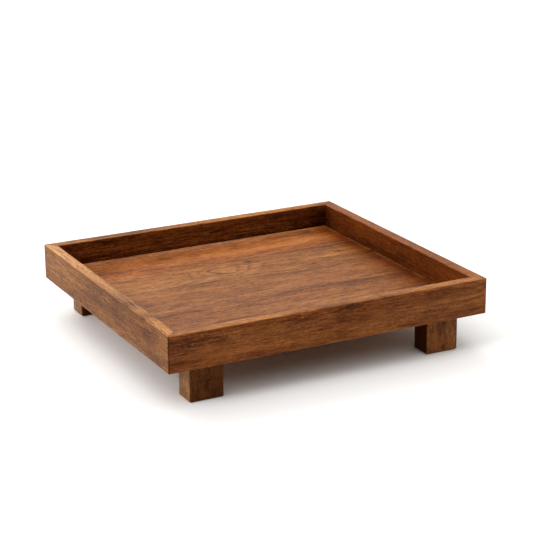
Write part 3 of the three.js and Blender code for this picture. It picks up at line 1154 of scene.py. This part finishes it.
# %% Finish the base
BOARD_WOODS = {
    # board: place in the log, tint (on the first board partly painted light), heart
    1: ((0, 0, 0), (1.66, 1.54, 1.36), -35),
    2: ((620, 210, 33), (1.50, 1.60, 1.51), -52),
    3: ((1340, 430, 66), (1.36, 1.40, 1.34), -44),
    4: ((2120, 650, 99), (1.27, 1.27, 1.19), -58),
    5: ((2890, 870, 132), (1.21, 1.19, 1.09), -40),
}
EYE = ((-15, 53, 32, 15, 12),)
EYE_BOARD = 2
BOARD_STAINS = {
    # along, across, half length, half width, how much darker
    1: ((100, 108, 70, 9, -0.10), (-20, 104, 60, 7, -0.07), (-110, 88, 24, 5, -0.14),
        (115, 133, 45, 8, 0.18), (-128, 101, 16, 5, 0.16)),
    2: ((112, 77, 42, 2.6, 0.20), (-122, 69, 16, 1.8, 0.22), (22, 68, 5, 5, 0.20),
        (105, 46, 44, 1.8, -0.14), (-52, 24, 26, 2.8, 0.14), (80, 52, 60, 18, -0.06)),
    3: ((80, -5, 60, 20, -0.06), (-52, 19, 28, 2.6, 0.20), (42, 12.5, 60, 2.4, 0.20),
        (-76, 3, 24, 2.2, 0.16), (130, -31, 18, 2.0, 0.16), (45, -39, 60, 3.0, 0.10)),
    4: ((-112, -48, 26, 2.0, 0.20), (45, -42, 60, 2.4, 0.14), (-100, -82, 30, 5.0, -0.10),
        (115, -84, 34, 2.2, 0.18), (-80, -91, 38, 2.4, 0.14)),
    5: ((-30, -120, 60, 3.0, 0.15),),
}
BOARD_WEAR_AND_HIGHLIGHT = 2.2
BOARD_FADE = (1.62, 3.5)
EYE_WAVES = 0.6

for number, (shift, tint, heart) in BOARD_WOODS.items():
    node = f"base_board_{number}"
    knots, waves = (EYE, EYE_WAVES) if number == EYE_BOARD else ((), 1.0)
    material = wood(node, "board", shift, tint, heart, knots=knots, stains_and_shade=BOARD_STAINS[number],
                    wear=BOARD_WEAR_AND_HIGHLIGHT, fade=BOARD_FADE, waves=waves)
    finish_with(boards[number], material, node)
print("boards finished:", list(BOARD_WOODS))

# %% [markdown]
# Legs show upright grain on their sides and end grain below. The same solid pattern gives both, turned so
# that its length stands up. A leg is short, so its patterns are drawn out less.

# %% Finish the legs
LEG_WOODS = {
    # corner: place in the log, tint, darkened as painted shade under the tray on all but the front right
    # leg
    "front_left": ((100, 1000, 20), (0.55, 0.475, 0.350)),
    "front_right": ((400, 1300, 50), (0.95, 0.955, 0.940)),
    "back_left": ((700, 1600, 80), (0.35, 0.245, 0.132)),
    "back_right": ((1000, 1900, 110), (0.55, 0.50, 0.42)),
}
LEG_STAINS = {
    # height, place from the left, half length, half width, how much darker
    "front_left": ((15.5, -132, 3, 2.4, 0.25), (20, -131, 0.7, 16, 0.16), (6, -143, 9, 5, 0.12),
                   (10, -130, 1.2, 1.0, 0.30), (26, -122, 9, 4, -0.10), (8, -122, 6, 5, 0.12)),
    "front_right": ((5, 131, 3.2, 1.6, 0.34), (25, 126, 10, 1.5, 0.14), (18, 141, 15, 5, -0.08)),
    "back_left": (),
    "back_right": (),
}
LEG_FADE = (1.5, 2.3)

for corner, (shift, tint) in LEG_WOODS.items():
    material = wood("leg_" + corner, "leg", shift, tint, heart=-30, ring=3.6, figure=0.80,
                    stains_and_shade=LEG_STAINS[corner], wear=0.35, fade=LEG_FADE, shorter=2.6)
    finish_with(legs[corner], material, "leg_" + corner)
print("legs finished:", list(LEG_WOODS))

# %% [markdown]
# Dowels and mitre tongues stay inside the joints, so their solids are shown as they are. They only get
# the same wood without any oil on it, which is much paler.

# %% Finish the hidden joinery
BARE_PLACE = (50, 60, 70)
BARE_TINT = (2.0, 2.6, 3.6)
JOINERY_WOODS = {
    # first word of the names: the piece that is measured, and how its grain runs
    "dowel": ("dowel_front_left_outer", "leg"),
    "mitre_tongue": ("mitre_tongue_front_left", "board"),
}

for word, (sample, grain) in JOINERY_WOODS.items():
    bare_wood = wood(sample, grain, BARE_PLACE, BARE_TINT, heart=-20, ring=2.5, wear=0.0, veins=0.3)
    for name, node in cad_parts.items():
        if name.startswith(word):
            node.data.materials.clear()
            node.data.materials.append(bare_wood)
print("joinery finished:", list(JOINERY_WOODS))

# %% [markdown] Easing and sanding only take wood away, so the dressed tray must not have grown.
